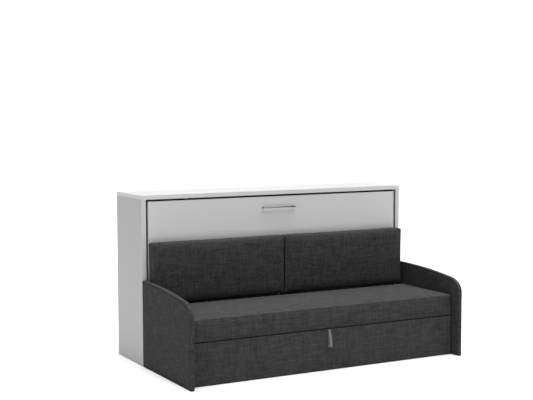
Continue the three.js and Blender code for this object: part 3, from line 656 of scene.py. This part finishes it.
def armrest_outline(low, high, distance):
    """The armrest's side outline, moved inwards by a distance."""
    front = low.y
    rear = high.y
    slope = front + ARM_CORNER
    cabinet = rear + ARM_TO_CABINET
    middle = cabinet - (cabinet - slope) / 2
    late = cabinet - (cabinet - slope) * 4 / 5
    curve = bezier([(rear, ARM_TOP), (middle, ARM_TOP), (late, (ARM_TOP + 2 * ARM_SHOULDER) / 3),
                    (slope, ARM_SHOULDER - ARM_EDGE)], ARM_CURVE_STEPS)
    nose = bezier([(slope, ARM_SHOULDER - ARM_EDGE), (front, ARM_SHOULDER - ARM_CORNER / 3),
                   (front, ARM_SHOULDER - ARM_CORNER)], ARM_NOSE_STEPS)
    line = [Vector(p) for p in curve + nose + [(front, ARM_SHOULDER - ARM_CORNER)]]
    moved = []
    for i, here in enumerate(line):
        ahead = line[min(i + 1, len(line) - 1)]
        behind = line[max(i - 1, 0)]
        along = (ahead - behind).normalized()
        moved.append((here.x - along.y * distance, here.y + along.x * distance))
    left = front + distance
    right = rear - distance
    # The moved top line is cut off at the rear edge, or the outline would cross itself there
    top = moved[:len(curve) + 1]
    places = np.linspace(right, top[-1][0], len(top))[:-1]
    heights = np.interp(places, [p[0] for p in reversed(top)], [p[1] for p in reversed(top)])
    moved = [*zip(places, heights), *moved[len(curve):]]
    bottom = low.z + distance
    turn = max(0.4 * MM, ARM_FOOT - 0.7 * distance)
    drop = [(left, z) for z in np.linspace(moved[-1][1], bottom + turn, ARM_FRONT_STEPS)[1:-1]]
    foot = bezier([(left, bottom + turn), (left, bottom), (left + turn, bottom)], ARM_FOOT_STEPS)
    sole = [(y, bottom) for y in np.linspace(left + turn, right, ARM_SOLE_STEPS)[:-1]]
    back = [(right, z) for z in np.linspace(bottom, moved[0][1], ARM_REAR_STEPS)[:-1]]
    return moved + drop + foot + sole + back


def make_armrest(label, side):
    node = f"armrest_{label}"
    low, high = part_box(node)
    outer = high.x if side > 0 else low.x
    inner = low.x if side > 0 else high.x
    rings = [(armrest_outline(low, high, d), outer - side * depth) for d, depth in ARM_RINGS]
    rings += [(armrest_outline(low, high, d), inner + side * depth) for d, depth in reversed(ARM_RINGS)]
    arm = loft(f"armrest_pad_{label}", rings, 0, MATERIALS["fabric"], 50)
    return settle(arm, ROOT, "fabric", node)


# Upholstered drawer front, whose cover wraps under the board, and its pull tab
COVER_BELOW_BOARD = 2.5 * MM
COVER_CROWN = 1 * MM
COVER_RADIUS = 5 * MM
COVER_PITCH = 30 * MM
BAND_EDGE = 0.35 * MM


def make_drawer_front():
    low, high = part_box("drawer_front")
    pad = Pad((low.x + END_ROOM, low.y + COVER_CROWN, low.z - COVER_BELOW_BOARD),
              (high.x - END_ROOM, high.y, high.z), COVER_RADIUS, COVER_PITCH, 1, -1, COVER_CROWN, 0)
    front = new_object("drawer_front_cover", pad.points, pad.faces, MATERIALS["fabric"], 60)
    subdivide(front)
    return settle(front, DRAWER, "fabric", "drawer_front")


def band(name, outline, span, body, node):
    """A flat woven band: its side outline, run across its width with the long edges bevelled."""
    low, high = span
    places = [(BAND_EDGE, low), (0, low + BAND_EDGE), (0, high - BAND_EDGE), (BAND_EDGE, high)]
    made = loft(name, [(inset(outline, d), x) for d, x in places], 0, MATERIALS["webbing"], 50)
    return settle(made, body, "webbing", node)


def make_strap(label):
    node = f"mattress_strap_{label}"
    low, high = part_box(node)
    return band(f"strap_band_{label}", rim(node, 0), (low.x, high.x), BED, node)


TAB_THICK = 2.4 * MM
TAB_ROUND = 12 * MM
TAB_HEAD = 14 * MM
TAB_PLIES_APART = 0.2 * MM


def make_pull_tab():
    """A strap folded double: the two ends lie together at the top and open into a loop below."""
    low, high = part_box("pull_tab")
    back, out, foot, top = high.y, low.y, low.z, high.z
    head = top - TAB_HEAD
    meet = back - 2 * TAB_THICK - TAB_PLIES_APART
    line = [(back, z) for z in np.linspace(top, foot + TAB_ROUND, 10)[:-1]]
    line += bezier([(back, foot + TAB_ROUND), (back, foot), (back - TAB_ROUND, foot)], 7)
    line += bezier([(out + TAB_ROUND, foot), (out, foot), (out, foot + TAB_ROUND)], 7)
    line += bezier([(out, foot + TAB_ROUND), (out, (foot + head) / 2), (meet, head)], 14)
    line += [(meet, head), (meet, (head + top) / 2), (meet, top)]
    inner = []
    for i, here in enumerate(line):
        ahead = Vector(line[min(i + 1, len(line) - 1)])
        behind = Vector(line[max(i - 1, 0)])
        along = (ahead - behind).normalized()
        inner.append((here[0] + along.y * TAB_THICK, here[1] - along.x * TAB_THICK))
    return band("tab_band", line + inner[::-1], (low.x, high.x), DRAWER, "pull_tab")


# Turned metal pieces
TURNED_STEPS = 48
ON_AXIS = 1e-7
HANDLE_ROUND = 0.8 * MM
POST_COLLAR = 2.2 * MM
POST_COLLAR_RIM = 1.0 * MM


def turned(name, profile, axis, centre, material):
    """A solid of revolution: profile is (radius, place along the axis), first and last on the axis."""
    others = [a for a in range(3) if a != axis]
    verts = []
    rings = []
    for radius, place in profile:
        if radius < ON_AXIS:
            point = list(centre)
            point[axis] += place
            rings.append([len(verts)])
            verts.append(point)
            continue
        ring = []
        for i in range(TURNED_STEPS):
            angle = 2 * math.pi * i / TURNED_STEPS
            point = list(centre)
            point[axis] += place
            point[others[0]] += radius * math.cos(angle)
            point[others[1]] += radius * math.sin(angle)
            ring.append(len(verts))
            verts.append(point)
        rings.append(ring)
    faces = []
    for a, b in zip(rings, rings[1:]):
        for i in range(TURNED_STEPS):
            j = (i + 1) % TURNED_STEPS
            corners = [a[i % len(a)], a[j % len(a)], b[j % len(b)], b[i % len(b)]]
            faces.append([c for k, c in enumerate(corners) if c not in corners[:k]])
    return new_object(name, verts, faces, material)


def make_handle():
    low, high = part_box("handle_bar")
    centre = (low + high) / 2
    radius = (high.z - low.z) / 2
    half = (high.x - low.x) / 2
    ends = [(0, 0), (radius - HANDLE_ROUND, 0), (radius - 0.3 * HANDLE_ROUND, 0.3 * HANDLE_ROUND),
            (radius, HANDLE_ROUND)]
    profile = [(r, p - half) for r, p in ends] + [(r, half - p) for r, p in reversed(ends)]
    bar = turned("handle_rod", profile, 0, centre, MATERIALS["satin_metal"])
    settle(bar, BED, "satin_metal", "handle_bar")
    for label, _ in SIDES:
        node = f"handle_post_{label}"
        low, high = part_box(node)
        middle = (low + high) / 2
        post_radius = (high.x - low.x) / 2
        back = high.y - middle.y
        front = centre.y + 0.5 * radius - middle.y
        profile = [(0, front), (post_radius, front), (post_radius, back - POST_COLLAR),
                   (post_radius + POST_COLLAR, back - POST_COLLAR_RIM), (post_radius + POST_COLLAR, back), (0, back)]
        # The posts take the darker, painted-shade copy of the satin metal.
        post = turned(f"handle_foot_{label}", profile, 1, middle, MATERIALS["shaded_post_metal"])
        settle(post, BED, "satin_metal", node)


# Studio: a pale floor that glows a little, like a light table, a broad light above, a key and a soft fill
SKY = 0.03
BACKDROP = 1.1
FLOOR_HALF = 60.0
FLOOR_GLOW = 0.08
LIGHTS = (("overhead", 6.3, 62, (0.02, -0.03, 1.0)), ("key", 1.3, 16, (0.12, -1.0, 1.35)),
          ("left_fill", 0.5, 60, (-1.0, -0.35, 0.5)))


def make_studio():
    floor = Shader("floor").set(Roughness=0.9, Specular_IOR_Level=0.1)
    cloud = floor.noise((0.8, 0.8, 0.8), 2.0)
    floor.colour(floor.mix(cloud, (0.605, 0.605, 0.605), (0.615, 0.615, 0.615)))
    floor.set(Emission_Color=(1, 1, 1, 1), Emission_Strength=FLOOR_GLOW)
    corners = [(x * FLOOR_HALF, y * FLOOR_HALF, 0) for x, y in ((-1, -1), (1, -1), (1, 1), (-1, 1))]
    plane = new_object("floor", corners, [(0, 1, 2, 3)], floor.material)
    world = bpy.data.worlds.new("studio")
    world.use_nodes = True
    tree = world.node_tree
    sky = tree.nodes["Background"]
    sky.inputs["Color"].default_value = (1, 1, 1, 1)
    sky.inputs["Strength"].default_value = SKY
    seen = tree.nodes.new("ShaderNodeBackground")
    seen.inputs["Color"].default_value = (1, 1, 1, 1)
    seen.inputs["Strength"].default_value = BACKDROP
    path = tree.nodes.new("ShaderNodeLightPath")
    pick = tree.nodes.new("ShaderNodeMixShader")
    tree.links.new(path.outputs["Is Camera Ray"], pick.inputs["Fac"])
    tree.links.new(sky.outputs["Background"], pick.inputs[1])
    tree.links.new(seen.outputs["Background"], pick.inputs[2])
    tree.links.new(pick.outputs["Shader"], tree.nodes["World Output"].inputs["Surface"])
    bpy.context.scene.world = world
    for name, energy, spread, origin in LIGHTS:
        data = bpy.data.lights.new(name, "SUN")
        data.energy = energy
        data.angle = math.radians(spread)
        lamp = bpy.data.objects.new(name, data)
        lamp.rotation_euler = (-Vector(origin)).to_track_quat("-Z", "Y").to_euler()
        bpy.context.scene.collection.objects.link(lamp)
    bpy.context.scene.view_settings.view_transform = "Standard"


dress_frame()
make_camera()
make_seat()
make_mattress()
for side_label, _ in SIDES:
    make_back_cushion(side_label)
for side_label, side_sign in SIDES:
    make_armrest(side_label, side_sign)
make_drawer_front()
make_pull_tab()
for side_label, _ in SIDES:
    make_strap(side_label)
make_handle()
make_studio()
